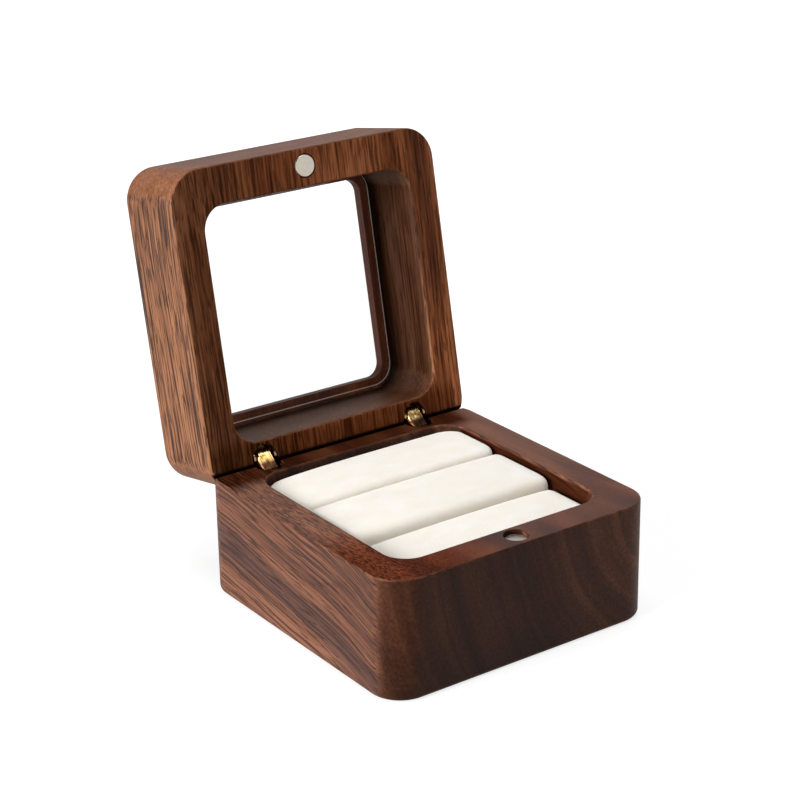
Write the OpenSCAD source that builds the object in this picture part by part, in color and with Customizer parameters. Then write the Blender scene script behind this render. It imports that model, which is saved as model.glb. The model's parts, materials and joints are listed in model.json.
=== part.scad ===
// Walnut ring box with a window lid, a three-roll velvet cushion and two brass barrel hinges.
// Millimetres. The origin is the middle of the underside, +Z is up and the front faces -Y.
// The lid is drawn as it stands when it is open, resting on the bevels behind the hinges.

/* [Box] */
// Width across the front
box_w = 60; // [52:0.5:90]
// Depth from front to back
box_d = 62; // [54:0.5:92]
// Radius of the upright corners
corner_r = 6.5; // [4:0.1:9]
// Softened edge of both rims
rim_edge = 0.4; // [0.2:0.05:0.6]

/* [Base] */
// Height of the base up to its rim
base_h = 23.6; // [20:0.1:40]
// Rounded edge round the underside
foot_edge = 1; // [0.5:0.1:2]
// Width of the rim at each side
base_side_rim = 6.9; // [5:0.1:9]
// Width of the rim at the front
base_front_rim = 6.8; // [6.5:0.1:10]
// Width of the rim at the hinges
base_back_rim = 8.5; // [8.2:0.1:11]
// Wood left under the pocket
base_floor = 5; // [3:0.1:7]
// Radius of the pocket's upright corners
base_pocket_r = 5; // [3:0.1:7]

/* [Lid] */
// Height of the lid from its rim to its outer face
lid_h = 18.7; // [16:0.1:30]
// Rounded edge round the outer face
lid_edge = 1.5; // [0.5:0.1:2.5]
// Width of the rim at each side
lid_side_rim = 6.4; // [5:0.1:9]
// Width of the rim at the front
lid_front_rim = 7.5; // [6.5:0.1:10]
// Width of the rim at the hinges
lid_back_rim = 8.3; // [8.2:0.1:11]
// Radius of the pocket's upright corners
lid_pocket_r = 5; // [3:0.1:7]
// Air between the rims when the box is shut
rim_gap = 0.2; // [0.1:0.05:0.5]
// How far the lid opens from shut
lid_open = 101; // [90:1:110]

/* [Window] */
// Wood between the pane and the outer face
flange_t = 2.6; // [2:0.1:4]
// How far that wood laps the pane at each side
side_ledge = 1.8; // [1:0.1:3]
// How far it laps the pane at the front and the back
end_ledge = 2.4; // [1:0.1:3]
// Radius of the window's corners
window_r = 3; // [1:0.1:5]
// Rounded outer edge of the window
window_edge = 0.7; // [0.3:0.1:1.5]
// Thickness of the pane
pane_t = 1; // [0.8:0.1:2]
// Room round the pane's edge
pane_slack = 0.2; // [0.1:0.05:0.4]

/* [Hinges] */
// Distance between the two hinges
hinge_span = 35.6; // [24:0.2:40]
// Barrel axis from the back face
hinge_inset = 4.7; // [4.4:0.1:5]
// Pin axis below the rim
pin_depth = 1.7; // [1.6:0.05:2]
// Diameter of a barrel
barrel_d = 5; // [4.6:0.1:5.2]
// Length of a barrel below its pin
barrel_l = 10; // [7:0.5:12]
// Barrel shoulder below its pin
barrel_shoulder = 1.2; // [1:0.1:1.5]
// Depth of the glue grooves round a barrel
glue_groove = 0.2; // [0.1:0.05:0.3]
// Room for glue round a barrel
barrel_slack = 0.05; // [0.03:0.01:0.1]
// Diameter of the wider mouth of a barrel hole
hole_mouth_d = 5.7; // [5.6:0.1:6]
// Depth of that mouth below the rim
hole_mouth_l = 2; // [1.8:0.1:2.4]
// Diameter of a hinge pin
pin_d = 0.9; // [0.7:0.05:1]
// Depth of a pin's ends inside the barrel
pin_recess = 0.1; // [0.1:0.05:0.2]
// Running clearance of a link on its pin
pin_slack = 0.03; // [0.02:0.01:0.05]
// Number of link plates in a hinge
link_count = 4; // [2:1:4]
// Thickness of a link plate
link_t = 0.88; // [0.5:0.01:0.88]
// Radius of a link plate's round ends
link_r = 1.6; // [1.4:0.05:1.6]
// Radius of the balls that the ends of all the plates make up together
link_ball_r = 2.05; // [2:0.05:2.2]
// Air between link plates, and below them
link_gap = 0.08; // [0.05:0.01:0.1]
// Air between the link plates and a cheek of the barrel
cheek_gap = 0.2; // [0.1:0.05:0.25]
// Clearance of a barrel's round end inside the rim
knuckle_gap = 0.1; // [0.05:0.05:0.2]

/* [Magnets] */
// Diameter of a magnet
magnet_d = 4.6; // [3:0.1:5]
// Thickness of a magnet
magnet_t = 3; // [1:0.1:5]
// Magnet axis from the front face
magnet_inset = 3.45; // [3.3:0.05:3.6]
// Depth of the base magnet below its rim
base_magnet_sink = 0.8; // [0.1:0.05:2]
// Depth of the lid magnet below its rim
lid_magnet_sink = 0.05; // [0.05:0.05:2]
// Room round a magnet
magnet_slack = 0.1; // [0.05:0.01:0.15]
// Chamfer of a magnet's edges
magnet_chamfer = 0.25; // [0.1:0.05:0.4]

/* [Cushion] */
// Depth of the front roll's crest below the rim
front_crest_drop = 1.7; // [0.3:0.1:3]
// Depth of the other rolls' crests below the rim
crest_drop = 0.4; // [0.3:0.1:3]
// Width of the front roll
front_roll_w = 13.6; // [12:0.1:18]
// Width of the back roll
back_roll_w = 15; // [12:0.1:18]
// Room between rolls, and between a roll and the pocket's walls
roll_gap = 0.3; // [0.2:0.05:0.5]
// Thickness of the velvet with its backing
velvet_t = 0.8; // [0.5:0.1:1.2]
// Room between the velvet and the foam
foam_gap = 0.05; // [0.03:0.01:0.1]
// Width of the velvet's hem folded under a roll
hem_w = 3; // [2:0.1:4]
// Rounding of a roll's ends seen from above, beside another roll
roll_end_r = 1.8; // [1.5:0.1:4]
// Rounding of a roll's crest at its ends
crest_end_r = 2.2; // [2:0.1:4]
// How far a roll's sides are drawn in at its foot
foot_draw = 0.5; // [0.2:0.1:1]

/* [Hidden] */

$fn = 64;
// Overshoot of a cut past the face that it opens
over = 1;

walnut = "#6b4128";
brass = "#c99a45";
nickel = "#c8c4bc";
clear = [0.85, 0.93, 0.95, 0.35];
velvet = "#f4efe6";
foam = "#d9d2c4";

// Pockets of the base and the lid, as [width, depth, middle along Y]
base_pocket = pocket(base_side_rim, base_front_rim, base_back_rim);
lid_pocket = pocket(lid_side_rim, lid_front_rim, lid_back_rim);
function pocket(side, front, back) =
    [box_w - 2 * side, box_d - front - back, (front - back) / 2];

// Hinge pins with the box shut: both lie the same distance from the plane between the rims
pin_y = box_d / 2 - hinge_inset;
base_pin_z = base_h - pin_depth;
lid_rim_z = base_h + rim_gap;
lid_pin_z = lid_rim_z + pin_depth;
// The lid and the links share the opening equally
half_open = lid_open / 2;
hinge_x = hinge_span / 2;

hole_d = barrel_d + 2 * barrel_slack;
knuckle_r = pin_depth - knuckle_gap;
pack_w = link_count * link_t + (link_count - 1) * link_gap;
slot_w = pack_w + 2 * cheek_gap;
slot_floor = link_r + 2 * link_gap;
pin_l = barrel_d - 2 * pin_recess;
// Height of each glue groove as a share of the barrel's length
groove_levels = [0.25, 0.5];

magnet_y = -box_d / 2 + magnet_inset;
ledge_z = lid_rim_z + lid_h - flange_t;

// Rolls from front to back, each as [middle along Y, width, end rounding in front, and behind,
// height]. The outer rolls follow the pocket's corners
rolls_from = base_pocket[2] - base_pocket[1] / 2 + roll_gap;
rolls_to = base_pocket[2] + base_pocket[1] / 2 - roll_gap;
middle_roll_w = rolls_to - rolls_from - front_roll_w - back_roll_w - 2 * roll_gap;
middle_roll_y = rolls_from + front_roll_w + roll_gap + middle_roll_w / 2;
front_roll_y = rolls_from + front_roll_w / 2;
back_roll_y = rolls_to - back_roll_w / 2;
roll_l = base_pocket[0] - 2 * roll_gap;
roll_h = base_h - crest_drop - base_floor;
front_roll_h = base_h - front_crest_drop - base_floor;
front_roll = [front_roll_y, front_roll_w, base_pocket_r, roll_end_r, front_roll_h];
middle_roll = [middle_roll_y, middle_roll_w, roll_end_r, roll_end_r, roll_h];
back_roll = [back_roll_y, back_roll_w, roll_end_r, base_pocket_r, roll_h];
// Height of a roll's widest line, and how square its upper and lower halves are
roll_waist = 0.55;
crest_power = 4.2;
foot_power = 9;

// Half of a section through a block's edge: the wall is at x = 0 and the inside at negative x
module edge_section(inside, h, low_r, high_r) {
    translate([-inside, low_r])
        square([inside, h - low_r - high_r]);
    translate([-inside, 0])
        square([inside - low_r, low_r]);
    translate([-low_r, low_r])
        circle(low_r);
    translate([-inside, h - high_r])
        square([inside - high_r, high_r]);
    translate([-high_r, h - high_r])
        circle(high_r);
}

// The same for a hole that opens upwards at height h through an edge of radius mouth_r
module hole_section(inside, h, mouth_r) {
    translate([-inside, 0])
        square([inside, h + over]);
    difference() {
        translate([0, h - mouth_r])
            square([mouth_r, mouth_r + over]);
        translate([mouth_r, h - mouth_r])
            circle(mouth_r);
    }
}

// Sweeps the section drawn by its child round a rectangle with round corners and fills the middle
module round_block(w, d, r, h) {
    for (side = [0, 180]) {
        rotate(side)
            swept_side(w, d - 2 * r)
                children();
        rotate(side + 90)
            swept_side(d, w - 2 * r)
                children();
        rotate(side) {
            translate([w / 2 - r, d / 2 - r, 0])
                swept_corner(r, 0)
                    children();
            translate([-w / 2 + r, d / 2 - r, 0])
                swept_corner(r, 90)
                    children();
        }
    }
    translate([r - w / 2, r - d / 2, 0])
        cube([w - 2 * r, d - 2 * r, h]);
}

module swept_side(reach, length) {
    translate([reach / 2, length / 2, 0])
        rotate([90, 0, 0])
            linear_extrude(length)
                children();
}

// The section is clipped at the axis that it turns about
module swept_corner(r, turn) {
    rotate(turn)
        rotate_extrude(angle = 90)
            intersection() {
                translate([r, 0])
                    children();
                translate([0, -box_d])
                    square(2 * box_d);
            }
}

// A pocket cut downwards from z = 0 with a softened mouth
module pocket_cut(size, r, depth, mouth_r) {
    translate([0, size[2], -depth])
        round_block(size[0], size[1], r, depth + over)
            hole_section(r, depth, mouth_r);
}

// What the other half sweeps over behind a pin as the box opens: the rear edge is rounded about
// the pin's axis and then bevelled at half the opening angle
module rear_cut() {
    reach = hinge_inset + over;
    touch = pin_depth * [sin(half_open), cos(half_open)];
    drop = (reach - touch[0]) * tan(half_open);
    translate([box_w / 2 + over, pin_y, 0])
        rotate([90, 0, -90])
            linear_extrude(box_w + 2 * over)
                mirror([1, 0])
                    difference() {
                        polygon([
                            [0, 0], [0, reach], [reach, reach], [reach, touch[1] - drop], touch
                        ]);
                        circle(pin_depth);
                    }
}

// Hole for one barrel, with the pin at the origin and the rim above it
module barrel_hole() {
    translate([0, 0, -barrel_l - 2 * barrel_slack])
        cylinder(d = hole_d, h = barrel_l + pin_depth + over);
    translate([0, 0, pin_depth - hole_mouth_l])
        cylinder(d = hole_mouth_d, h = hole_mouth_l + over);
}

// Repeats its child at both hinges
module at_hinges() {
    for (side = [-1, 1])
        translate([side * hinge_x, 0, 0])
            children();
}

// The link plates have turned half of the opening about the base pin
module on_links() {
    translate([0, pin_y, base_pin_z])
        rotate([-half_open, 0, 0])
            translate([0, -pin_y, -base_pin_z])
                children();
}

// The lid turns as far again about the lid pin, so children are drawn with the box shut
module on_lid() {
    on_links()
        translate([0, pin_y, lid_pin_z])
            rotate([-half_open, 0, 0])
                translate([0, -pin_y, -lid_pin_z])
                    children();
}

// Turns a piece of the base into its twin in the lid, mirrored in the plane between the rims
module lid_twin() {
    translate([0, 0, base_h + lid_rim_z])
        mirror([0, 0, 1])
            children();
}

module base_body() {
    color(walnut)
        difference() {
            round_block(box_w, box_d, corner_r, base_h)
                edge_section(corner_r, base_h, foot_edge, rim_edge);
            translate([0, 0, base_h])
                pocket_cut(base_pocket, base_pocket_r, base_h - base_floor, rim_edge);
            translate([0, 0, base_pin_z])
                rear_cut();
            translate([0, pin_y, base_pin_z])
                at_hinges()
                    barrel_hole();
            magnet_hole(base_magnet_sink);
        }
}

module lid_frame() {
    window = [lid_pocket[0] - 2 * side_ledge, lid_pocket[1] - 2 * end_ledge, lid_pocket[2]];
    color(walnut)
        on_lid()
            difference() {
                translate([0, 0, lid_rim_z])
                    round_block(box_w, box_d, corner_r, lid_h)
                        edge_section(corner_r, lid_h, rim_edge, lid_edge);
                lid_twin() {
                    translate([0, 0, base_h])
                        pocket_cut(lid_pocket, lid_pocket_r, lid_h - flange_t, rim_edge);
                    translate([0, 0, base_pin_z])
                        rear_cut();
                    translate([0, pin_y, base_pin_z])
                        at_hinges()
                            barrel_hole();
                    magnet_hole(lid_magnet_sink);
                }
                translate([0, 0, lid_rim_z + lid_h])
                    pocket_cut(window, window_r, flange_t + over, window_edge);
            }
}

module window_pane() {
    w = lid_pocket[0] - 2 * pane_slack;
    d = lid_pocket[1] - 2 * pane_slack;
    r = lid_pocket_r - pane_slack;
    color(clear)
        on_lid()
            translate([0, lid_pocket[2], ledge_z - pane_t])
                round_block(w, d, r, pane_t)
                    translate([-r, 0])
                        square([r, pane_t]);
}

module magnet_hole(sink) {
    translate([0, magnet_y, base_h - sink - magnet_t])
        cylinder(d = magnet_d + 2 * magnet_slack, h = magnet_t + sink + over);
}

module magnet(sink) {
    edge = magnet_d / 2 - magnet_chamfer;
    color(nickel)
        translate([0, magnet_y, base_h - sink - magnet_t])
            rotate_extrude()
                polygon([
                    [0, 0], [edge, 0], [magnet_d / 2, magnet_chamfer],
                    [magnet_d / 2, magnet_t - magnet_chamfer], [edge, magnet_t], [0, magnet_t]
                ]);
}

module base_magnet() {
    magnet(base_magnet_sink);
}

module lid_magnet() {
    on_lid()
        lid_twin()
            magnet(lid_magnet_sink);
}

// One barrel with its pin at the origin: a round body with glue grooves, and above its shoulder two
// cheeks that are rounded about the pin, with the slot for the link plates between them
module barrel() {
    color(brass)
        difference() {
            intersection() {
                translate([0, 0, -barrel_l])
                    barrel_turning();
                rotate([90, 0, 90])
                    linear_extrude(barrel_d + 2 * over, center = true)
                        barrel_side_view();
            }
            translate([-slot_w / 2, -barrel_d, -slot_floor])
                cube([slot_w, 2 * barrel_d, slot_floor + pin_depth + over]);
            rotate([0, 90, 0])
                cylinder(d = pin_d, h = barrel_d + 2 * over, center = true);
        }
}

// The barrel as it comes off the lathe, with its closed end at z = 0
module barrel_turning() {
    r = barrel_d / 2;
    top = barrel_l + pin_depth;
    chamfer = 2 * glue_groove;
    difference() {
        rotate_extrude()
            polygon([[0, 0], [r - chamfer, 0], [r, chamfer], [r, top], [0, top]]);
        for (level = groove_levels)
            translate([0, 0, level * barrel_l])
                rotate_extrude()
                    translate([r - glue_groove, 0])
                        square([2 * glue_groove, 3 * glue_groove]);
    }
}

module barrel_side_view() {
    circle(knuckle_r);
    polygon([
        [-barrel_d, -barrel_l], [barrel_d, -barrel_l],
        [barrel_d, -barrel_shoulder - barrel_d / 2], [barrel_d / 2, -barrel_shoulder], [knuckle_r, 0],
        [-knuckle_r, 0], [-barrel_d / 2, -barrel_shoulder], [-barrel_d, -barrel_shoulder - barrel_d / 2]
    ]);
}

module base_barrel(side) {
    translate([side * hinge_x, pin_y, base_pin_z])
        barrel();
}

module left_base_barrel() {
    base_barrel(-1);
}

module right_base_barrel() {
    base_barrel(1);
}

module left_lid_barrel() {
    on_lid()
        lid_twin()
            base_barrel(-1);
}

module right_lid_barrel() {
    on_lid()
        lid_twin()
            base_barrel(1);
}

// A bar with ball ends from the base pin at the origin to the lid pin above it, flattened to the
// outline of a plate
module link_bar(reach) {
    intersection() {
        union() {
            sphere(link_ball_r);
            cylinder(r = link_ball_r, h = reach);
            translate([0, 0, reach])
                sphere(link_ball_r);
        }
        rotate([90, 0, 90])
            linear_extrude(2 * barrel_d, center = true) {
                circle(link_r);
                translate([-link_r, 0])
                    square([2 * link_r, reach]);
                translate([0, reach])
                    circle(link_r);
            }
    }
}

// One link plate, the slice of that bar that starts at the given place along the pins
module link_plate(start) {
    reach = lid_pin_z - base_pin_z;
    side = 2 * (link_r + over);
    difference() {
        intersection() {
            link_bar(reach);
            translate([start, -side / 2, -side / 2])
                cube([link_t, side, reach + side]);
        }
        for (pin = [0, reach])
            translate([start - over, 0, pin])
                rotate([0, 90, 0])
                    cylinder(d = pin_d + 2 * pin_slack, h = link_t + 2 * over);
    }
}

module link_plates(side) {
    pitch = link_t + link_gap;
    color(brass)
        on_links()
            translate([side * hinge_x, pin_y, base_pin_z])
                for (plate = [0:link_count - 1])
                    link_plate(plate * pitch - pack_w / 2);
}

module left_link_plates() {
    link_plates(-1);
}

module right_link_plates() {
    link_plates(1);
}

module base_pin(side) {
    color(brass)
        translate([side * hinge_x, pin_y, base_pin_z])
            rotate([0, 90, 0])
                cylinder(d = pin_d, h = pin_l, center = true);
}

module left_base_pin() {
    base_pin(-1);
}

module right_base_pin() {
    base_pin(1);
}

module left_lid_pin() {
    on_lid()
        lid_twin()
            base_pin(-1);
}

module right_lid_pin() {
    on_lid()
        lid_twin()
            base_pin(1);
}

// How much is lost to a quarter-round end of radius r, for a point at distance from its start
function rounded_off(distance, r) =
    distance <= 0 ? 0 : r - sqrt(max(0, r * r - distance * distance));

// Rise of a superellipse of the given power: the sine or cosine of a turn, made squarer
function squared(s, power) = sign(s) * pow(abs(s), 2 / power);

// One ring of a roll's skin at place x, moved inwards by inset on every side but the foot
function roll_ring(x, roll, inset, sides) =
    let(
        from_end = abs(x) - roll_l / 2 + inset,
        half_w = [for (r = [roll[2], roll[3]]) roll[1] / 2 - inset - rounded_off(from_end + r, r)],
        crest = roll[4] - inset - rounded_off(from_end + crest_end_r, crest_end_r),
        waist = roll[4] * roll_waist
    )
    [
        for (k = [0:sides - 1])
            let(
                turn = 360 * (k + 0.5) / sides,
                up = sin(turn) > 0,
                power = up ? crest_power : foot_power,
                rise = squared(sin(turn), power),
                draw = up ? 0 : foot_draw * abs(rise),
                reach = half_w[cos(turn) < 0 ? 0 : 1] - draw
            )
            [
                x,
                squared(cos(turn), power) * reach,
                waist + rise * (up ? crest - waist : waist - inset)
            ]
    ];

// Places along a roll, closer together towards its ends
function roll_stations(inset, count) =
    [for (k = [0:count]) (roll_l / 2 - inset) * sin(180 * k / count - 90)];

// A roll of foam or the velvet's outside as one skin of triangles, closed by a fan at each end
module roll_skin(roll, inset, sides, count) {
    stations = roll_stations(inset, count);
    rings = [for (x = stations) each roll_ring(x, roll, inset, sides)];
    ends = [for (x = [stations[0], stations[count]]) [x, 0, roll[4] * roll_waist]];
    first = len(rings);
    skin = [
        for (k = [0:count - 1], s = [0:sides - 1])
            let(
                a = k * sides + s,
                b = k * sides + (s + 1) % sides
            )
            each [[a, b + sides, b], [a, a + sides, b + sides]]
    ];
    caps = [
        for (s = [0:sides - 1])
            let(
                t = (s + 1) % sides,
                last = count * sides
            )
            each [[s, t, first], [last + t, last + s, first + 1]]
    ];
    translate([0, roll[0], base_floor])
        polyhedron(concat(rings, ends), concat(skin, caps));
}

// Facets of a roll: sides of a ring and steps along it, fine outside and coarser inside
skin_sides = 36;
skin_steps = 14;
core_sides = 24;
core_steps = 10;

module roll_foam(roll) {
    color(foam)
        roll_skin(roll, velvet_t + foam_gap, core_sides, core_steps);
}

// The velvet wraps the foam and its hem is folded under, open in the middle of the foot
module roll_velvet(roll) {
    color(velvet)
        difference() {
            roll_skin(roll, 0, skin_sides, skin_steps);
            roll_skin(roll, velvet_t, core_sides, core_steps);
            translate([-roll_l / 2 + base_pocket_r, roll[0] - roll[1] / 2 + hem_w, base_floor - over])
                cube([roll_l - 2 * base_pocket_r, roll[1] - 2 * hem_w, velvet_t + 2 * over]);
        }
}

module front_roll_foam() {
    roll_foam(front_roll);
}

module middle_roll_foam() {
    roll_foam(middle_roll);
}

module back_roll_foam() {
    roll_foam(back_roll);
}

module front_roll_velvet() {
    roll_velvet(front_roll);
}

module middle_roll_velvet() {
    roll_velvet(middle_roll);
}

module back_roll_velvet() {
    roll_velvet(back_roll);
}

base_body();
lid_frame();
window_pane();
base_magnet();
lid_magnet();
front_roll_foam();
middle_roll_foam();
back_roll_foam();
front_roll_velvet();
middle_roll_velvet();
back_roll_velvet();
left_base_barrel();
right_base_barrel();
left_lid_barrel();
right_lid_barrel();
left_link_plates();
right_link_plates();
left_base_pin();
right_base_pin();
left_lid_pin();
right_lid_pin();
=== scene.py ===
"""Looks of the walnut ring box: oiled wood, brass hinges, nickel magnets, clear pane and velvet rolls."""

import json
import math
from types import SimpleNamespace

import bpy
import numpy as np
from mathutils import Matrix, Vector


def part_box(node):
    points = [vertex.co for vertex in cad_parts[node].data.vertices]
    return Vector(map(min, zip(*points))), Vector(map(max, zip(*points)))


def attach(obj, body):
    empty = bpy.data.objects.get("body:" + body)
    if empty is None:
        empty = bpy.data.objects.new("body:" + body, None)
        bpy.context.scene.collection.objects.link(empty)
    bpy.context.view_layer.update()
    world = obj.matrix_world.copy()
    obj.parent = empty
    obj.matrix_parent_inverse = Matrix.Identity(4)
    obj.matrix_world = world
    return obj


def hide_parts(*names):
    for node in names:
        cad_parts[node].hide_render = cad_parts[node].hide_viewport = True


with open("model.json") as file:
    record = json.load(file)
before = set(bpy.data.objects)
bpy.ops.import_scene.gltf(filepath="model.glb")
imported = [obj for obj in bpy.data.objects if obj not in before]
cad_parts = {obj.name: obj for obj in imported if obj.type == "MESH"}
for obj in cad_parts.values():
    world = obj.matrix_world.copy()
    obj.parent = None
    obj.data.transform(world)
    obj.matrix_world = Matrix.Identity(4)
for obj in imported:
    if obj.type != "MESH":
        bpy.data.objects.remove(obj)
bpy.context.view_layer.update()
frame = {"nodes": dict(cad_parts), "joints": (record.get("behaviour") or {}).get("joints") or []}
MM = 0.001

# Camera, found by laying the part's own edges over the photograph
CAMERA_PLACE = Vector((-215.617, -296.840, 185.908)) * MM
CAMERA_YAW = math.radians(35.314)
CAMERA_PITCH = math.radians(21.570)
CAMERA_ROLL = math.radians(-0.923)
CAMERA_LENS = 96.129
CAMERA_SENSOR = 36.0

# Room: the floor glows less within FLOOR_FADE of the middle, where the box's shadow falls, and the white
# backdrop ends at CEILING_RISE, the upward part of a direction
FLOOR_HALF = 3.0
FLOOR_COLOUR = (0.35, 0.35, 0.35, 1)
FLOOR_GLOW = (0.76, 1.0)
FLOOR_FADE = (0.10, 0.40)
WORLD_LIGHT = 0.11
CEILING = 0.1
CEILING_RISE = (0.45, 0.75)
WHITE = (1, 1, 1, 1)

# Lamps, all turned to LAMP_TARGET: name, place, size and power
LAMP_TARGET = (0, 0, 0.04)
LAMPS = (
    ("key", (-0.85, 0.0, 0.30), 0.35, 9.7),
    ("overhead", (0.13, 0.02, 0.95), 0.7, 5.8),
    ("fill", (-0.15, -0.92, 0.42), 0.6, 0.8),
)


# Node trees

# Strength and distance of bump that is felt more than seen
FINE_BUMP = {"Strength": 0.6, "Distance": 0.1 * MM}


def set_inputs(tree, node, inputs):
    """Sets or links a node's inputs by name or number."""
    for key, value in inputs.items():
        if isinstance(value, bpy.types.NodeSocket):
            tree.links.new(value, node.inputs[key])
        else:
            node.inputs[key].default_value = value


def add_node(tree, kind, inputs=None, **settings):
    """Adds a node, sets its properties, and sets or links its inputs."""
    new = tree.nodes.new(kind)
    for key, value in settings.items():
        setattr(new, key, value)
    set_inputs(tree, new, inputs or {})
    return new


def object_place(tree):
    return add_node(tree, "ShaderNodeTexCoord").outputs["Object"]


def calculate(tree, operation, *values):
    """A Math node's result; each value is a number or a socket."""
    return add_node(tree, "ShaderNodeMath", dict(enumerate(values)), operation=operation).outputs[0]


def times(tree, product, *values):
    for value in values:
        product = calculate(tree, "MULTIPLY", product, value)
    return product


def less(tree, share):
    """What a share leaves of the whole."""
    return calculate(tree, "SUBTRACT", 1.0, share)


def swing(tree, value, reach):
    """Noise, which lies round a half, as a swing round zero."""
    return calculate(tree, "MULTIPLY_ADD", value, reach, -0.5 * reach)


def vector_math(tree, operation, *values):
    new = add_node(tree, "ShaderNodeVectorMath", dict(enumerate(values)), operation=operation)
    return new.outputs["Value"] if operation in ("DOT_PRODUCT", "LENGTH") else new.outputs[0]


def ease(tree, value, low, high, to_low=0.0, to_high=1.0):
    """A smooth step of value from low to high."""
    inputs = {"Value": value, "From Min": low, "From Max": high, "To Min": to_low, "To Max": to_high}
    return add_node(tree, "ShaderNodeMapRange", inputs, interpolation_type="SMOOTHSTEP").outputs[0]


def between(tree, share, low, high):
    """Goes over smoothly from low, where share is 0, to high, where it is 1."""
    return ease(tree, share, 0.0, 1.0, low, high)


def noise(tree, vector, stretch, detail=2.0, shift=(0, 0, 0), output="Fac"):
    """Noise with a number of grains per unit along each axis."""
    place = add_node(tree, "ShaderNodeMapping", {"Vector": vector, "Scale": stretch, "Location": shift})
    inputs = {"Vector": place.outputs[0], "Scale": 1.0, "Detail": detail}
    return add_node(tree, "ShaderNodeTexNoise", inputs).outputs[output]


def rgba(colour):
    return colour if isinstance(colour, bpy.types.NodeSocket) else (*colour, 1)


def blend_colours(tree, share, low, high, mode="MIX"):
    inputs = {"Factor": share, 6: rgba(low), 7: rgba(high)}
    new = add_node(tree, "ShaderNodeMix", inputs, data_type="RGBA", blend_type=mode)
    return new.outputs[2]


def tinted(tree, colour, share, tint):
    return blend_colours(tree, share, colour, tint, "MULTIPLY")


def colour_ramp(tree, value, stops):
    new = add_node(tree, "ShaderNodeValToRGB", {"Fac": value})
    points = new.color_ramp.elements
    while len(points) < len(stops):
        points.new(0.5)
    for point, (place, colour) in zip(points, stops):
        point.position = place
        point.color = rgba(colour)
    return new.outputs[0]


def new_material(name):
    """A material with a Principled shader linked to its output."""
    material = bpy.data.materials.new(name)
    material.use_nodes = True
    tree = material.node_tree
    return material, tree, tree.nodes["Principled BSDF"]


def dress(material, *nodes):
    for name in nodes:
        slots = frame["nodes"][name].data.materials
        slots.clear()
        slots.append(material)


# Walnut

# Zones of both halves of the box, in mm with the lid shut. Depth is measured from a half's rim. Tilt is 1
# where a face looks the way the rim does, and -1 on the half's outer face. Each pair of limits says where
# a zone starts and where it is full
END_GRAIN_ACROSS = (0.15, 0.55)
POCKET_PLAN, POCKET_DEPTH, POCKET_TILT = (26.0, 25.0), (0.2, 0.7), (-0.95, -0.5)
RIM_TILT, RIM_DEPTH = (0.9, 0.99), (0.7, 0.3)
RIM_RIGHT_X = (-22.0, 4.0)
BACK_SHADE_X = (29.0, 25.0)
EDGE_TILT_LOW, EDGE_TILT_HIGH, EDGE_DEPTH = (0.2, 0.5), (0.97, 0.85), (0.8, 0.5)
ABOVE_PANE_DEPTH, UNDER_PANE_DEPTH = (15.9, 15.2), (15.2, 15.9)
LOW_WALL_DEPTH = (10.0, 14.8)
SEAM_Y, SEAM_DEPTH = (26.5, 27.0), (1.4, 0.8)
LOW_END_Z = (14.0, 0.0)
RIGHT_END_X = (0.0, 22.0)

# Grains per mm across, along and across the fibres, and how far the fibres sway
STREAK_GRAIN = (0.16, 0.006, 0.16)
FIBRE_GRAIN = (2.8, 0.03, 2.8)
SPECK_GRAIN = (1.6, 1.6, 1.6)
WEAR_AND_GLINT_GRAIN = (0.5, 0.5, 0.5)
SWAY = (3.0, (0.04, 0.02, 0.04))

# Tone: how much of the grain shows in a pocket above and under the pane, where outer sides grow paler,
# and what end grain adds to its middle tone
POCKET_LIFE = (0.45, 0.2)
RISE_DEPTH, RISE_Y = (3.0, 15.0), (-25.0, 20.0)
END_TONE = 0.45
END_STREAK = 0.3
END_SPECK = 0.6

# Marks: how far the band wanders, the share of it that is darkest and the length over which it ends, then
# the limits and shares of pores, dark lines and paler edges, which are partly worn and partly a painted
# highlight
BAND_WANDER, BAND_CORE, BAND_FADE = 8.0, 0.3, 20.0
SIDE_PORE_TILT, SIDE_PORES = (0.2, 0.9), 0.9
CRACK_LIMITS = (0.45, 0.35)
CUT_GRAIN, CUT_MARKS = (0.0, 0.4), (0.9, 0.06)
WEAR_AND_GLINT_LIMITS = (0.42, 0.6)

# Tints: painted shade low on the end grain, the pocket's end walls (partly their own colour, partly painted
# shade), under the pane, painted shade deep in the pocket near the pane, and painted shade in the seam at
# the hinges
LOW_END_SHADE = (0.62, 0.62, 0.58)
END_WALL_TONE_AND_SHADE = (0.75, 0.8, 0.8)
UNDER_PANE_TINT = (0.75, 0.5, 0.28)
LOW_WALL_SHADE = (0.2, 0.2, 0.2)
SEAM_SHADE_TINT = (0.06, 0.06, 0.06)

SIDE_ROUGH, RIM_ROUGH = 0.42, 0.62
FIBRE_ROUGH, MARK_ROUGH = 0.2, 0.15
LINE_RELIEF, MARK_RELIEF = 0.6, -1.0
END_SHINE = 0.12

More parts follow.
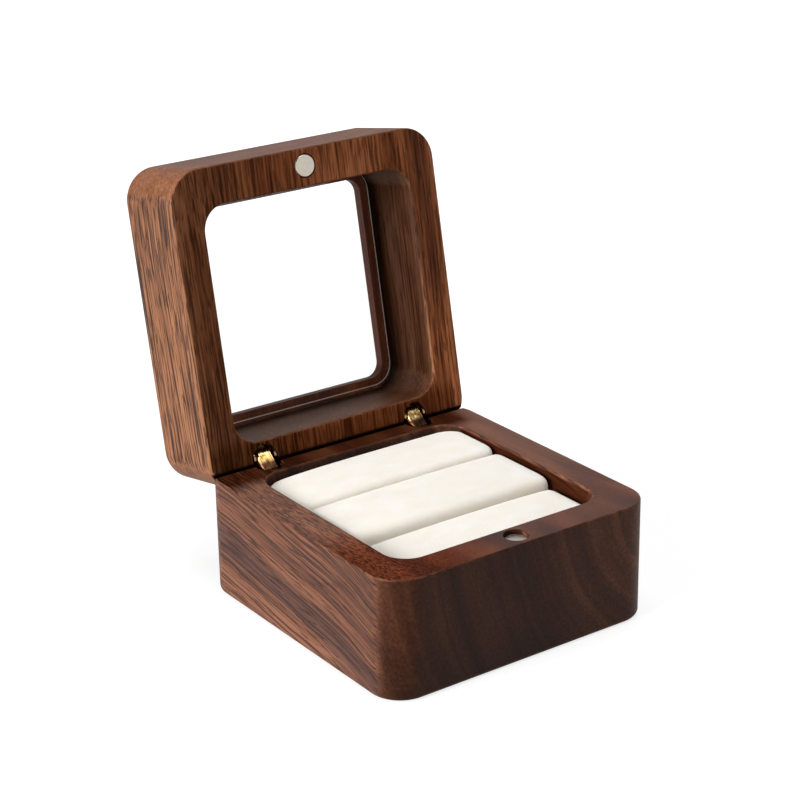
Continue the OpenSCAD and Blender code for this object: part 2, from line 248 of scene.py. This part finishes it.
# Each half: where its rim is, its rings and fibres, lines, band and pores, then its tones, tints and shine.
# Tints run from left to right or from front to back
BASE_WOOD = {
    "rim_side": 1, "rim_z": 23.6, "shift": (3.1, 7.7, 1.3),
    "pith": (50, 0, 40), "ring_width": 9.5, "ring_depth": 0.07, "ring_grain": 0.34, "end_rings": 1.35,
    "dip": 0.12, "bend": 0.008, "bend_from": -8.0, "wiggle": (0.5, (0.5, 0.12, 0.5)),
    "line_grain": (2.6, 0.028, 2.6), "line_depth": 1.1, "fibre_depth": 0.7, "crack": 0.65,
    "band_axis": "Z", "band_middle": 9.0, "band_half": 4.4, "band_end": 90.0,
    "band_tints": ((0.42, 0.40, 0.48), (1.0, 1.0, 1.0)),
    "pore_grain": (3.2, 0.14, 3.2), "pore_limits": (0.58, 0.64), "pore_colour": (0.022, 0.007, 0.004),
    "tones": [(0.15, (0.045, 0.014, 0.009)), (0.36, (0.105, 0.033, 0.015)),
              (0.52, (0.165, 0.055, 0.025)), (0.80, (0.29, 0.115, 0.058))],
    "rise": 0.0, "side_tint": (0.88, 0.88, 0.9), "side_shine": 0.25,
    # End tints: the end grain's own darker colour, partly painted shade, and paler to the right as painted
    # light
    "end_tones_and_shade": ((0.25, 0.235, 0.245), (0.66, 0.72, 0.84)),
    "corner_slant": 0.2, "corner_reach": (-15.0, -26.0), "corner_tint": (0.34, 0.30, 0.26),
    "rim_reach": (-8.0, -27.0), "rim_life": (0.12, 0.85), "rim_fade": ("Y", -20.0, 0.0),
    # The rim turns greyer and shinier to the right and the back, partly a painted sheen; the back tint is
    # the lid's shadow, painted
    "rim_tints": ((0.65, 0.4, 0.27), (0.48, 0.37, 0.32), (0.93, 0.93, 0.95)),
    "rim_shines": (0.08, 0.5, 0.58), "back_shade_reach": (18.0, 22.5), "back_tint": (0.34, 0.27, 0.22),
    # Paler edges are partly worn and partly a painted highlight; the pocket tint is partly painted shade
    "wear_and_glint": 0.3, "edge_colour": (0.34, 0.115, 0.045), "pocket_tone_and_shade": (0.36, 0.29, 0.25),
}
LID_WOOD = {
    "rim_side": -1, "rim_z": 23.8, "shift": (11.4, 2.9, 5.2),
    "pith": (-10, 0, 78), "ring_width": 11.0, "ring_depth": 0.06, "ring_grain": 0.3, "end_rings": 0.4,
    "dip": 0.02, "bend": 0.0, "bend_from": 0.0, "wiggle": (0.4, (0.5, 0.12, 0.5)),
    "line_grain": (2.0, 0.055, 2.0), "line_depth": 1.3, "fibre_depth": 0.8, "crack": 0.9,
    "band_axis": "X", "band_middle": 27.0, "band_half": 3.4, "band_end": 16.0,
    "band_tints": ((0.65, 0.66, 0.8), (1.8, 1.9, 2.1)),
    "pore_grain": (2.8, 0.2, 2.8), "pore_limits": (0.56, 0.63), "pore_colour": (0.020, 0.006, 0.003),
    "tones": [(0.15, (0.050, 0.015, 0.007)), (0.36, (0.115, 0.036, 0.014)),
              (0.52, (0.185, 0.062, 0.024)), (0.80, (0.31, 0.12, 0.055))],
    "rise": 0.12, "side_tint": (1.05, 1.13, 1.06), "side_shine": 0.22,
    "end_tones_and_shade": ((0.75, 0.75, 0.8), (0.75, 0.75, 0.8)),
    "corner_slant": 0.0, "corner_reach": (-18.0, -29.0), "corner_tint": (1.25, 1.4, 1.5),
    "rim_reach": (12.0, -24.0), "rim_life": (0.55, 0.65), "rim_fade": ("X", -24.0, -4.0),
    "rim_tints": ((0.75, 0.74, 0.74), (0.75, 0.74, 0.74), (1.28, 1.18, 1.08)),
    # The back tint is painted shade on the rim near the hinges
    "rim_shines": (0.04, 0.04, 0.04), "back_shade_reach": (20.0, 24.0), "back_tint": (0.6, 0.54, 0.48),
    # Paler edges are partly worn and partly a painted highlight; the pocket tint is partly painted shade
    "wear_and_glint": 0.4, "edge_colour": (0.30, 0.11, 0.045), "pocket_tone_and_shade": (0.56, 0.65, 0.8),
}


def shut_lid():
    """The turn that takes the lid from its open rest to shut, about both pivots of the hinges."""
    turn = Matrix.Identity(4)
    for joint in frame["joints"]:
        pivot = Matrix.Translation(joint["pos_m"])
        angle = math.radians(joint["range_deg"][1])
        turn = turn @ pivot @ Matrix.Rotation(angle, 4, Vector(joint["axis"])) @ pivot.inverted()
    return turn


def shut_space(tree, place, turn):
    """Object coordinates in millimetres, as they are with the lid shut."""
    shift, rotation, _ = turn.decompose()
    return add_node(tree, "ShaderNodeMapping", {
        "Vector": place,
        "Location": shift / MM,
        "Rotation": rotation.to_euler(),
        "Scale": (1 / MM,) * 3,
    }).outputs[0]


def wood_zones(tree, turn, wood):
    """The place of a point of the wood, and its share in each zone of its half."""
    coords = add_node(tree, "ShaderNodeTexCoord").outputs
    straighten = turn.to_3x3().inverted()

    def facing(direction):
        return vector_math(tree, "DOT_PRODUCT", coords["Normal"], tuple(straighten @ Vector(direction)))

    at = SimpleNamespace(place=shut_space(tree, coords["Object"], turn))
    at.x, at.y, at.z = add_node(tree, "ShaderNodeSeparateXYZ", {0: at.place}).outputs
    at.tilt = facing((0, 0, wood["rim_side"]))
    at.depth = times(tree, calculate(tree, "SUBTRACT", wood["rim_z"], at.z), wood["rim_side"])
    at.end_grain = ease(tree, calculate(tree, "ABSOLUTE", facing((0, 1, 0))), *END_GRAIN_ACROSS)
    at.long_grain = less(tree, at.end_grain)

    plan = calculate(tree, "MAXIMUM", calculate(tree, "ABSOLUTE", at.x), calculate(tree, "ABSOLUTE", at.y))
    at.inside = times(tree, ease(tree, plan, *POCKET_PLAN), ease(tree, at.depth, *POCKET_DEPTH),
                      ease(tree, at.tilt, *POCKET_TILT))
    above_pane = times(tree, at.inside, ease(tree, at.depth, *ABOVE_PANE_DEPTH))
    at.under_pane = times(tree, at.inside, ease(tree, at.depth, *UNDER_PANE_DEPTH))
    # Pocket walls above the pane, darkened partly as painted shade, and most of all deep down near the pane,
    # where the shade is painted darkest
    at.long_wall = times(tree, above_pane, at.long_grain)
    at.end_wall = times(tree, above_pane, at.end_grain)
    at.low_wall = times(tree, above_pane, ease(tree, at.depth, *LOW_WALL_DEPTH))

    at.rim = times(tree, ease(tree, at.tilt, *RIM_TILT), ease(tree, at.depth, *RIM_DEPTH))
    at.rim_right = ease(tree, at.x, *RIM_RIGHT_X)
    axis, *reach = wood["rim_fade"]
    at.rim_far = ease(tree, {"X": at.x, "Y": at.y}[axis], *reach)
    # The back of the rim, where the lid's shadow and the shade near the hinges are painted
    at.rim_back = times(tree, ease(tree, at.y, *wood["back_shade_reach"]), ease(tree, at.x, *BACK_SHADE_X), at.rim)
    at.edge = times(tree, ease(tree, at.tilt, *EDGE_TILT_LOW), ease(tree, at.tilt, *EDGE_TILT_HIGH),
                    ease(tree, at.depth, *EDGE_DEPTH))
    # The seam at the hinges, where the shade of the gap is painted
    at.seam = times(tree, ease(tree, at.y, *SEAM_Y), ease(tree, at.depth, *SEAM_DEPTH))
    at.outside = less(tree, calculate(tree, "MAXIMUM", at.inside, at.rim))

    at.rim_life = ease(tree, at.x, *wood["rim_reach"], *wood["rim_life"])
    pocket_life = ease(tree, at.depth, *UNDER_PANE_DEPTH, *POCKET_LIFE)
    at.life = between(tree, at.rim, between(tree, at.inside, 1.0, pocket_life), at.rim_life)
    return at


def wood_grain(tree, at, wood):
    """Noises along the fibres, which dip, bend near the front, sway and wiggle, and rings round the pith."""
    shift = wood["shift"]
    grain = SimpleNamespace()
    bent = calculate(tree, "MAXIMUM", calculate(tree, "SUBTRACT", wood["bend_from"], at.y), 0.0)
    drop = times(tree, bent, bent, wood["bend"])
    dipped = calculate(tree, "MULTIPLY_ADD", at.y, -wood["dip"], at.z)
    grain.height = calculate(tree, "ADD", dipped, drop)
    flow = add_node(tree, "ShaderNodeCombineXYZ", {0: at.x, 1: at.y, 2: grain.height}).outputs[0]
    for reach, size in (SWAY, wood["wiggle"]):
        waver = vector_math(tree, "SUBTRACT", noise(tree, flow, size, 1.0, shift, "Color"), (0.5,) * 3)
        flow = vector_math(tree, "ADD", flow, vector_math(tree, "MULTIPLY", waver, (reach, 0, reach)))

    from_pith = vector_math(tree, "SUBTRACT", flow, wood["pith"])
    distance = vector_math(tree, "LENGTH", vector_math(tree, "MULTIPLY", from_pith, (1, 0, 1)))
    grain.rings = calculate(tree, "SINE", times(tree, distance, math.tau / wood["ring_width"]))
    outward = add_node(tree, "ShaderNodeCombineXYZ", {0: distance}).outputs[0]
    grain.growth = noise(tree, outward, (wood["ring_grain"],) * 3, 3.0, shift)
    grain.streak = noise(tree, flow, STREAK_GRAIN, 2.0, shift)
    grain.fibre = noise(tree, flow, FIBRE_GRAIN, 2.0, shift)
    grain.line = noise(tree, flow, wood["line_grain"], 1.0, shift)
    grain.pore = noise(tree, flow, wood["pore_grain"], 1.0, shift)
    grain.speck = noise(tree, at.place, SPECK_GRAIN, 2.0, shift)
    return grain


def bare_wood(tree, at, grain, wood):
    """Colour along the fibres, and where they are cut across."""
    long_tone = calculate(tree, "MULTIPLY_ADD", grain.rings, wood["ring_depth"], grain.streak)
    rise = calculate(tree, "ADD", ease(tree, at.depth, *RISE_DEPTH), ease(tree, at.y, *RISE_Y, -1.0, 0.0))
    long_tone = calculate(tree, "ADD", long_tone, times(tree, rise, times(tree, at.outside, wood["rise"])))
    for part, reach in ((grain.line, wood["line_depth"]), (grain.fibre, wood["fibre_depth"])):
        long_tone = calculate(tree, "MULTIPLY_ADD", swing(tree, part, reach), at.life, long_tone)
    end_tone = calculate(tree, "ADD", swing(tree, grain.growth, wood["end_rings"]), END_TONE)
    for part, reach in ((grain.streak, END_STREAK), (grain.speck, END_SPECK)):
        end_tone = calculate(tree, "ADD", end_tone, swing(tree, part, reach))
    colour = colour_ramp(tree, between(tree, at.end_grain, long_tone, end_tone), wood["tones"])
    return tinted(tree, colour, times(tree, at.outside, at.long_grain), wood["side_tint"])


def heartwood(tree, colour, at, grain, wood):
    """A dark band along the fibres, which goes over into paler wood towards the back."""
    level = {"X": at.x, "Z": grain.height}[wood["band_axis"]]
    wandering = calculate(tree, "ADD", swing(tree, grain.streak, BAND_WANDER), level)
    off = calculate(tree, "ABSOLUTE", calculate(tree, "SUBTRACT", wandering, wood["band_middle"]))
    band = ease(tree, off, wood["band_half"], BAND_CORE * wood["band_half"])
    ahead = ease(tree, at.y, wood["band_end"], wood["band_end"] - BAND_FADE)
    front_tint, back_tint = wood["band_tints"]
    tint = blend_colours(tree, ahead, back_tint, front_tint)
    return tinted(tree, colour, times(tree, band, at.long_grain), tint)


def dark_marks(tree, at, grain, wood):
    """Pores and dark lines, lost where the fibres are cut across."""
    pore = ease(tree, grain.pore, *wood["pore_limits"])
    pore = times(tree, pore, ease(tree, at.tilt, *SIDE_PORE_TILT, SIDE_PORES, 1.0))
    crack = times(tree, ease(tree, grain.line, *CRACK_LIMITS), wood["crack"])
    shown = times(tree, ease(tree, at.end_grain, *CUT_GRAIN, *CUT_MARKS), at.life)
    return times(tree, calculate(tree, "MAXIMUM", pore, crack), shown)


def end_grain_tone_and_shade(tree, colour, at, wood):
    """End grain is darker, partly in its own oiled colour and partly as painted shade on the base's front.
    It is darker still low down, as painted shade near the floor, paler to the right, as painted light, and
    paler at the left corner.
    """
    tint = blend_colours(tree, ease(tree, at.x, *RIGHT_END_X), *wood["end_tones_and_shade"])
    slanted = calculate(tree, "MULTIPLY_ADD", at.z, wood["corner_slant"], at.x)
    tint = blend_colours(tree, ease(tree, slanted, *wood["corner_reach"]), tint, wood["corner_tint"])
    colour = tinted(tree, colour, at.end_grain, tint)
    return tinted(tree, colour, times(tree, at.end_grain, ease(tree, at.z, *LOW_END_Z)), LOW_END_SHADE)


def worn_and_lit_edges(tree, colour, at, wood):
    """The rounded edges of the rim are paler in places, partly rubbed and partly a painted highlight where
    they catch the light.
    """
    patches = noise(tree, at.place, WEAR_AND_GLINT_GRAIN, 3.0, wood["shift"])
    worn_and_lit = times(tree, at.edge, ease(tree, patches, *WEAR_AND_GLINT_LIMITS, 0.0, wood["wear_and_glint"]), at.rim_life)
    return blend_colours(tree, worn_and_lit, colour, wood["edge_colour"])


def shaded_zones(tree, colour, at, wood):
    """The rim's tone changes along one axis, and where that starts also from left to right; on the base it
    turns greyer and shinier to the right and the back, partly a painted sheen. The back of the rim has
    painted shade under the lid and near the hinges. Pocket walls are darker, partly in their own colour and
    partly as painted shade, most of all low down, and the seam at the hinges is painted shade too."""
    left_tint, right_tint, far_tint = wood["rim_tints"]
    near_tint = blend_colours(tree, at.rim_right, left_tint, right_tint)
    colour = tinted(tree, colour, at.rim, blend_colours(tree, at.rim_far, near_tint, far_tint))
    for share, tint in (
        (at.rim_back, wood["back_tint"]),
        (at.long_wall, wood["pocket_tone_and_shade"]),
        (at.end_wall, END_WALL_TONE_AND_SHADE),
        (at.under_pane, UNDER_PANE_TINT),
        (at.low_wall, LOW_WALL_SHADE),
        (at.seam, SEAM_SHADE_TINT),
    ):
        colour = tinted(tree, colour, share, tint)
    return colour


def wood_shine(tree, at, wood):
    # On the base the rim's shine rises to the right and the back, partly a painted sheen
    left_shine, right_shine, far_shine = wood["rim_shines"]
    near_shine = between(tree, at.rim_right, left_shine, right_shine)
    rim_shine = between(tree, at.rim_far, near_shine, far_shine)
    side_shine = between(tree, at.end_grain, wood["side_shine"], END_SHINE)
    # The shine is cut where shade is painted: in the seam, on the pocket's long walls and at the back of the
    # rim
    in_painted_shade = calculate(tree, "MAXIMUM", calculate(tree, "MAXIMUM", at.seam, at.long_wall), at.rim_back)
    return times(tree, between(tree, at.rim, side_shine, rim_shine), less(tree, in_painted_shade))


def walnut(name, turn, wood):
    """Oiled walnut as a solid, in millimetres, with its fibres along Y after turn."""
    material, tree, shader = new_material(name)
    at = wood_zones(tree, turn, wood)
    grain = wood_grain(tree, at, wood)
    marks = dark_marks(tree, at, grain, wood)
    colour = bare_wood(tree, at, grain, wood)
    colour = heartwood(tree, colour, at, grain, wood)
    colour = blend_colours(tree, marks, colour, wood["pore_colour"])
    colour = end_grain_tone_and_shade(tree, colour, at, wood)
    colour = worn_and_lit_edges(tree, colour, at, wood)
    colour = shaded_zones(tree, colour, at, wood)
    rough = between(tree, at.rim, SIDE_ROUGH, RIM_ROUGH)
    rough = calculate(tree, "MULTIPLY_ADD", grain.fibre, FIBRE_ROUGH, rough)
    rough = calculate(tree, "MULTIPLY_ADD", marks, MARK_ROUGH, rough)
    relief = calculate(tree, "MULTIPLY_ADD", marks, MARK_RELIEF, times(tree, grain.line, LINE_RELIEF))
    set_inputs(tree, shader, {
        "Base Color": colour,
        "Roughness": rough,
        "Specular IOR Level": wood_shine(tree, at, wood),
        "Normal": add_node(tree, "ShaderNodeBump", {"Height": relief, **FINE_BUMP}).outputs[0],
    })
    return material


def dress_wood():
    dress(walnut("base_walnut", Matrix.Identity(4), BASE_WOOD), "base_body")
    dress(walnut("lid_walnut", shut_lid(), LID_WOOD), "lid_frame")


# Metal and glass

# Noise is mapped from this span, which holds nearly all of it. Grains are per metre
NOISE_SPAN = (0.3, 0.7)

# For each brass its name, how bright it is, and its pieces of a hinge; the barrels, down in the holes, are
# darkened as painted shade. Below a height in mm, near the mouths of the holes, the brass goes over into a
# dark colour
BRASS = (
    ("bright_brass", 1.0, ("link_plates", "base_pin", "lid_pin")),
    ("shaded_brass", 0.45, ("base_barrel", "lid_barrel")),
)
BRASS_GRAIN = (700, 700, 700)
BRASS_ROUGH = (0.18, 0.26)
BRASS_TONES = [(0.36, (0.58, 0.31, 0.09)), (0.52, (0.86, 0.61, 0.27))]
BRASS_DENTS = {"Strength": 0.22, "Distance": 0.3 * MM}
BRASS_DARK_Z = (23.9 * MM, 24.8 * MM)
BRASS_DARK_COLOUR = (0.07, 0.03, 0.015)
NICKEL_GRAIN = (3000, 3000, 3000)
NICKEL_ROUGH = (0.28, 0.42)
NICKEL_TONES = [(0.3, (0.50, 0.45, 0.38)), (0.7, (0.58, 0.53, 0.45))]

# Pane: a painted highlight, a pale line that glows a little where its inner face would turn into a bevelled
# edge, in mm with the lid shut. It runs round a rectangle with half its straight lengths and with rounded
# corners
PANE_MIDDLE = (0, -0.75, 0)
PANE_STRAIGHT = (18.9, 18.1, 0)
PANE_R = 4.4
PANE_EDGE = 0.27
PANE_EDGE_FADE = (0.5 * PANE_EDGE, 0.3 * PANE_EDGE)
PANE_INNER = (39.3, 39.1)
PANE_HIGHLIGHT_COLOUR = (0.5, 0.42, 0.36, 1)
PANE_HIGHLIGHT_GLOW = 0.1


def dress_metal():
    for name, bright, pieces in BRASS:
        brass, tree, shader = new_material(name)
        place = object_place(tree)
        haze = noise(tree, place, BRASS_GRAIN, 1.0)
        height = add_node(tree, "ShaderNodeSeparateXYZ", {0: place}).outputs["Z"]
        tone = colour_ramp(tree, haze, BRASS_TONES)
        tone = blend_colours(tree, ease(tree, height, *BRASS_DARK_Z), BRASS_DARK_COLOUR, tone)
        set_inputs(tree, shader, {
            "Base Color": tinted(tree, tone, 1.0, (bright,) * 3),
            "Metallic": 1.0,
            "Roughness": ease(tree, haze, *NOISE_SPAN, *BRASS_ROUGH),
            "Normal": add_node(tree, "ShaderNodeBump", {"Height": haze, **BRASS_DENTS}).outputs[0],
        })
        dress(brass, *(f"{side}_{piece}" for side in ("left", "right") for piece in pieces))

    nickel, tree, shader = new_material("nickel")
    grain = noise(tree, object_place(tree), NICKEL_GRAIN, 2.0)
    set_inputs(tree, shader, {
        "Base Color": colour_ramp(tree, grain, NICKEL_TONES),
        "Metallic": 1.0,
        "Roughness": ease(tree, grain, *NOISE_SPAN, *NICKEL_ROUGH),
    })
    dress(nickel, "base_magnet", "lid_magnet")


def dress_pane():
    """Clear glass that casts no dark shadow, with a painted highlight: a pale, slightly glowing line along
    the edge of its inner face.
    """
    glass, tree, shader = new_material("clear_pane")
    set_inputs(tree, shader, {
        "Base Color": (0.97, 0.98, 0.98, 1),
        "Roughness": 0.02,
        "IOR": 1.49,
        "Transmission Weight": 1.0,
    })
    place = shut_space(tree, object_place(tree), shut_lid())
    off = vector_math(tree, "ABSOLUTE", vector_math(tree, "SUBTRACT", place, PANE_MIDDLE))
    past = vector_math(tree, "MAXIMUM", vector_math(tree, "SUBTRACT", off, PANE_STRAIGHT), (0, 0, 0))
    from_corner = vector_math(tree, "LENGTH", vector_math(tree, "MULTIPLY", past, (1, 1, 0)))
    off_line = calculate(tree, "ABSOLUTE", calculate(tree, "SUBTRACT", from_corner, PANE_R))
    height = add_node(tree, "ShaderNodeSeparateXYZ", {0: place}).outputs["Z"]
    edge = times(tree, ease(tree, off_line, *PANE_EDGE_FADE), ease(tree, height, *PANE_INNER))
    highlight_shader = add_node(tree, "ShaderNodeBsdfPrincipled", {
        "Base Color": PANE_HIGHLIGHT_COLOUR,
        "Roughness": 0.3,
        "Emission Color": PANE_HIGHLIGHT_COLOUR,
        "Emission Strength": PANE_HIGHLIGHT_GLOW,
    })
    framed = add_node(tree, "ShaderNodeMixShader", {0: edge, 1: shader.outputs[0], 2: highlight_shader.outputs[0]})
    rays = add_node(tree, "ShaderNodeLightPath")
    clear = add_node(tree, "ShaderNodeBsdfTransparent")
    mixed = add_node(tree, "ShaderNodeMixShader", {
        0: rays.outputs["Is Shadow Ray"], 1: framed.outputs[0], 2: clear.outputs[0]})
    tree.links.new(mixed.outputs[0], tree.nodes["Material Output"].inputs["Surface"])
    dress(glass, "window_pane")


# Cushion

# For each roll the rounding of its crest at the ends, and how far the crest sinks towards the left end
# and the right end, in mm
ROLL_ENDS = {"front": (2.4, 0.3, 0.5), "middle": (1.4, 0.3, 0.3), "back": (0.6, 0.7, 0.1)}
SINK_POWER = 3

# Rings along a roll, the shares of the smaller rings that close its ends, and points round a ring
ROLL_STEPS = 44
ROLL_CLOSE = (0.15, 0.45, 0.75)
ROLL_SIDES = 72

# Share of its height at which a roll is widest, how square it is above and below that, and its corners
# in plan beside another roll and in the pocket's corners
ROLL_WAIST = 0.55
CREST_POWER = 11.0
FOOT_POWER = 9.0
ROLL_END_R = 1.2 * MM
POCKET_R = 4.2 * MM

# Simulation of the velvet, in frames, and how far a point may move along each axis
SWELL_SCALE = 20
SWELL_PRESSURE = 3.0
SWELL_STEPS = 20
SWELL_CAP = (0.2 * MM, 0.15 * MM, 0.2 * MM)

# Velvet: grains per metre, the share of the pile in the tone, and tones
PILE_GRAIN = (5200, 5200, 5200)
BRUSHED_GRAIN = (170, 260, 170)
PILE_SHARE = 0.35
VELVET_TONES = [(0.3, (0.84, 0.78, 0.68)), (0.65, (0.90, 0.86, 0.80))]


def velvet():
    """Cream velvet: a soft sheen, a fine pile and patches where the pile lies another way."""
    material, tree, shader = new_material("cream_velvet")
    place = object_place(tree)
    pile = noise(tree, place, PILE_GRAIN, 2.0)
    brushed = times(tree, noise(tree, place, BRUSHED_GRAIN, 3.0), 1 - PILE_SHARE)
    tone = calculate(tree, "MULTIPLY_ADD", pile, PILE_SHARE, brushed)
    set_inputs(tree, shader, {
        "Base Color": colour_ramp(tree, tone, VELVET_TONES),
        "Normal": add_node(tree, "ShaderNodeBump", {"Height": pile, **FINE_BUMP}).outputs[0],
        "Roughness": 0.95,
        "Subsurface Weight": 0.6,
        "Subsurface Radius": (1.0, 0.85, 0.7),
        "Subsurface Scale": 2.5 * MM,
        "Sheen Weight": 0.35,
        "Sheen Roughness": 0.4,
        "Specular IOR Level": 0.1,
    })
    return material


def rounded_off(distance, r):
    """How much a quarter round of radius r takes off at this distance from its start."""
    return 0.0 if distance <= 0 else r - math.sqrt(max(0.0, r * r - distance * distance))


def squared_circle(turn, power):
    """A point of a circle made squarer, in the direction turn."""
    out, up = math.cos(turn), math.sin(turn)
    reach = (abs(out) ** power + abs(up) ** power) ** (-1 / power)
    return out * reach, up * reach


def roll_form(low, high, corners, crest_r, sinks):
    """Points and faces of one roll as rings along X: flat underneath, with crowned top and round ends."""
    middle = (low + high) / 2
    half = (high - low) / 2
    waist = low.z + ROLL_WAIST * (high.z - low.z)
    places = [(math.sin(math.pi * (k / ROLL_STEPS - 0.5)), 1.0) for k in range(ROLL_STEPS + 1)]
    places = [(-1, share) for share in ROLL_CLOSE] + places + [(1, share) for share in reversed(ROLL_CLOSE)]
    points = []
    for place, share in places:
        x = half.x * place
        from_end = abs(x) - half.x
        sunk = sinks[1 if x > 0 else 0] * abs(place) ** SINK_POWER
        crest = high.z - sunk - rounded_off(from_end + crest_r, crest_r)
        for side in range(ROLL_SIDES):
            turn = math.tau * (side + 0.5) / ROLL_SIDES
            above = math.sin(turn) > 0
            out, up = squared_circle(turn, CREST_POWER if above else FOOT_POWER)
            corner = corners[1 if out > 0 else 0]
            width = half.y - rounded_off(from_end + corner, corner)
            reach = crest - waist if above else waist - low.z
            points.append((middle.x + x, middle.y + out * width * share, waist + up * reach * share))
    faces = [tuple(range(ROLL_SIDES))]
    for ring in range(len(places) - 1):
        for side in range(ROLL_SIDES):
            a, b = (ring * ROLL_SIDES + s % ROLL_SIDES for s in (side, side + 1))
            faces.append((a, a + ROLL_SIDES, b + ROLL_SIDES, b))
    last = (len(places) - 1) * ROLL_SIDES
    faces.append(tuple(reversed(range(last, last + ROLL_SIDES))))
    return np.array(points), faces


def swell(points, faces, foot):
    """The velvet blown up by the foam inside: a cloth that is held below foot. It is simulated
    many times larger, at a size that the solver copes with, and no point may move far."""
    mesh = bpy.data.meshes.new("swelling")
    mesh.from_pydata((points * SWELL_SCALE).tolist(), [], faces)
    piece = bpy.data.objects.new("swelling", mesh)
    bpy.context.scene.collection.objects.link(piece)
    held = piece.vertex_groups.new(name="foot")
    held.add([int(k) for k in np.flatnonzero(points[:, 2] < foot)], 1.0, "REPLACE")
    cloth = piece.modifiers.new("cloth", "CLOTH")
    cloth.settings.quality = 6
    cloth.settings.bending_stiffness = 1.0
    cloth.settings.vertex_group_mass = held.name
    cloth.settings.use_pressure = True
    cloth.settings.uniform_pressure_force = SWELL_PRESSURE
    cloth.settings.effector_weights.gravity = 0
    cloth.point_cache.frame_end = SWELL_STEPS
    for step in range(1, SWELL_STEPS + 1):
        bpy.context.scene.frame_set(step)
    swollen = piece.evaluated_get(bpy.context.evaluated_depsgraph_get()).data
    moved = np.array([point.co for point in swollen.vertices]) / SWELL_SCALE - points
    bpy.context.scene.frame_set(1)
    bpy.data.objects.remove(piece)
    bpy.data.meshes.remove(mesh)
    return points + np.clip(moved, -np.array(SWELL_CAP), SWELL_CAP)


def make_cushion():
    cloth = velvet()
    for place, (crest_r, *sinks) in ROLL_ENDS.items():
        low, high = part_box(f"{place}_roll_velvet")
        corners = [POCKET_R if place == end else ROLL_END_R for end in ("front", "back")]
        points, faces = roll_form(low, high, corners, crest_r * MM, [sink * MM for sink in sinks])
        points = swell(points, faces, low.z + ROLL_WAIST * (high.z - low.z))
        mesh = bpy.data.meshes.new(f"{place}_roll")
        mesh.from_pydata(points.tolist(), [], faces)
        mesh.polygons.foreach_set("use_smooth", [True] * len(mesh.polygons))
        mesh.materials.append(cloth)
        roll = bpy.data.objects.new(f"{place}_roll", mesh)
        bpy.context.scene.collection.objects.link(roll)
        roll.modifiers.new("smooth", "SUBSURF").render_levels = 1
        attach(roll, "base")
        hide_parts(f"{place}_roll_velvet", f"{place}_roll_foam")


# Camera, floor and lights


def add_camera():
    camera = bpy.data.objects.new("camera", bpy.data.cameras.new("camera"))
    camera.data.lens = CAMERA_LENS
    camera.data.sensor_width = CAMERA_SENSOR
    heading = Matrix.Rotation(-CAMERA_YAW, 4, "Z") @ Matrix.Rotation(math.pi / 2 - CAMERA_PITCH, 4, "X")
    camera.matrix_world = Matrix.Translation(CAMERA_PLACE) @ heading @ Matrix.Rotation(CAMERA_ROLL, 4, "Z")
    bpy.context.scene.collection.objects.link(camera)
    bpy.context.scene.camera = camera


def seen_directly(tree):
    """1 for rays from the camera, also by way of metal or glass."""
    rays = add_node(tree, "ShaderNodeLightPath").outputs
    seen = calculate(tree, "MAXIMUM", rays["Is Camera Ray"], rays["Is Glossy Ray"])
    return calculate(tree, "MAXIMUM", seen, rays["Is Transmission Ray"])


def add_floor():
    h = FLOOR_HALF
    mesh = bpy.data.meshes.new("floor")
    mesh.from_pydata([(-h, -h, 0), (h, -h, 0), (h, h, 0), (-h, h, 0)], [], [(0, 1, 2, 3)])
    floor = bpy.data.objects.new("floor", mesh)
    bpy.context.scene.collection.objects.link(floor)
    material, tree, shader = new_material("pale_floor")
    away = vector_math(tree, "LENGTH", object_place(tree))
    set_inputs(tree, shader, {
        "Base Color": FLOOR_COLOUR,
        "Roughness": 0.9,
        "Specular IOR Level": 0.0,
        "Emission Color": WHITE,
        "Emission Strength": times(tree, seen_directly(tree), ease(tree, away, *FLOOR_FADE, *FLOOR_GLOW)),
    })
    mesh.materials.append(material)


def add_lamp(name, place, size, power):
    lamp = bpy.data.objects.new(name, bpy.data.lights.new(name, "AREA"))
    lamp.data.size = size
    lamp.data.energy = power
    lamp.location = place
    lamp.rotation_euler = (Vector(LAMP_TARGET) - Vector(place)).to_track_quat("-Z", "Y").to_euler()
    bpy.context.scene.collection.objects.link(lamp)


def add_light():
    world = bpy.data.worlds.new("room")
    world.use_nodes = True
    bpy.context.scene.world = world
    tree = world.node_tree
    view = add_node(tree, "ShaderNodeTexCoord").outputs["Generated"]
    height = add_node(tree, "ShaderNodeSeparateXYZ", {0: view}).outputs["Z"]
    backdrop = ease(tree, height, *CEILING_RISE, 1.0, CEILING)
    set_inputs(tree, tree.nodes["Background"], {
        "Color": WHITE,
        "Strength": between(tree, seen_directly(tree), WORLD_LIGHT, backdrop),
    })
    for lamp in LAMPS:
        add_lamp(*lamp)
    bpy.context.scene.view_settings.view_transform = "Standard"


add_camera()
add_floor()
add_light()
dress_wood()
dress_metal()
dress_pane()
make_cushion()
